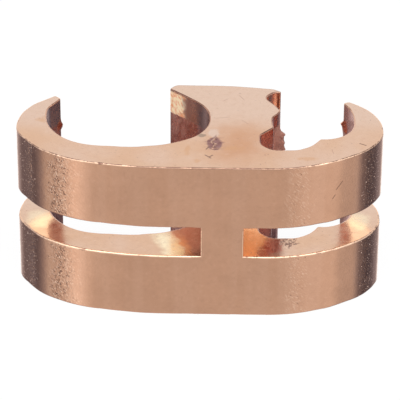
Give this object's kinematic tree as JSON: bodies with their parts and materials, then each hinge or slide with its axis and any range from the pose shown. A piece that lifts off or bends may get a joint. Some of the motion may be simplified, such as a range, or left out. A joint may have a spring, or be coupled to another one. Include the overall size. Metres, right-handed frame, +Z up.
{
  "type": "figure-E compression earth connector",
  "caption": "Copper E-shaped compression earth connector: wide groove for an earth rod or cable, narrow groove for a tap wire, slotted into two bands.",
  "frame": {"origin": "centre of the block's plan, on its base", "axes": "+X across both grooves towards the narrow tap groove, +Y from the plain front face towards the grooves' open side, +Z up along the grooves"},
  "size_m": [0.057, 0.025, 0.027],
  "materials": {
    "bare_copper": "polished"
  },
  "bodies": {
    "root": {"connector": "bare_copper"}
  },
  "joints": []
}
